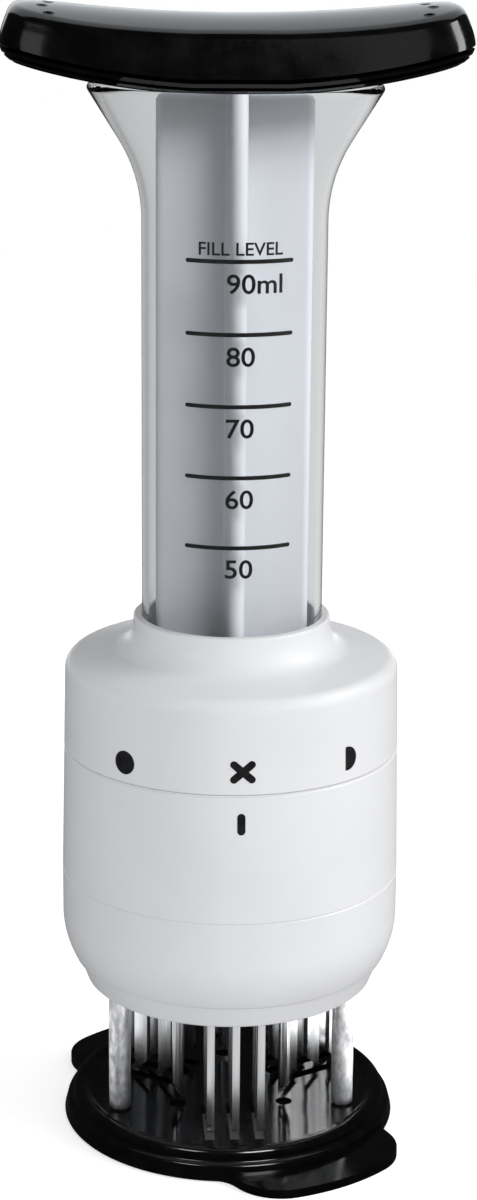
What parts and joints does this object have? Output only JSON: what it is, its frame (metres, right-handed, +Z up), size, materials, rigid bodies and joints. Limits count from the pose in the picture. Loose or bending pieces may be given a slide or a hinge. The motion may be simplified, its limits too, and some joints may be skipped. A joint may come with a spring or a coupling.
{
  "type": "marinade injector",
  "caption": "Upright marinade injector with a flared clear tube, palm plunger, turning flow dial and a sprung guard plate over hollow needles and blades.",
  "frame": {"origin": "middle of the guard plate's foot ring, on the surface that the object stands on", "axes": "+Z up along the tube axis, -Y towards the dial marks and the scale, +X along the handle to the right of the scale"},
  "size_m": [0.084, 0.0778, 0.2138],
  "materials": {
    "black_gloss": "polished moulded black plastic",
    "white_satin": "satin moulded white plastic",
    "clear_tube": "clear polished plastic",
    "pale_grey": "smooth pale grey plastic",
    "silicone": "soft silicone",
    "steel": "ground stainless steel"
  },
  "bodies": {
    "housing": {"index_ring": "white_satin", "valve_gasket": "silicone", "valve_manifold": "white_satin", "chamber_seal": "silicone", "lower_skirt": "white_satin", "needle_plate": "white_satin", "injection_needles": "steel", "front_blades": "steel", "right_blades": "steel", "left_blades": "steel", "post_springs": "steel"},
    "dial": {"measuring_tube": "clear_tube", "tube_seal": "silicone", "valve_rotor": "white_satin", "dial_collar": "white_satin"},
    "wiper": {"piston_seal": "silicone"},
    "plunger": {"plunger_rod": "pale_grey", "piston_head": "pale_grey", "handle_top_shell": "black_gloss", "handle_bottom_shell": "black_gloss"},
    "guard": {"guard_plate": "black_gloss", "guide_posts": "steel", "post_screws": "steel"}
  },
  "joints": [
    {"name": "dial_turn", "type": "hinge", "parent": "housing", "child": "dial", "pos_m": [0, 0, 0.076], "axis": [0, 0, 1], "range_deg": [-41, 41]},
    {"name": "plunger_slide", "type": "slide", "parent": "dial", "child": "wiper", "axis": [0, 0, 1], "range_m": [0, 0.105]},
    {"name": "plunger_spin", "type": "hinge", "parent": "wiper", "child": "plunger", "pos_m": [0, 0, 0.0621], "axis": [0, 0, 1], "continuous": true},
    {"name": "guard_press", "type": "slide", "parent": "housing", "child": "guard", "axis": [0, 0, 1], "range_m": [0, 0.022], "stiffness_N_per_m": 450, "springref_m": -0.02, "deforming": ["post_springs"]}
  ]
}
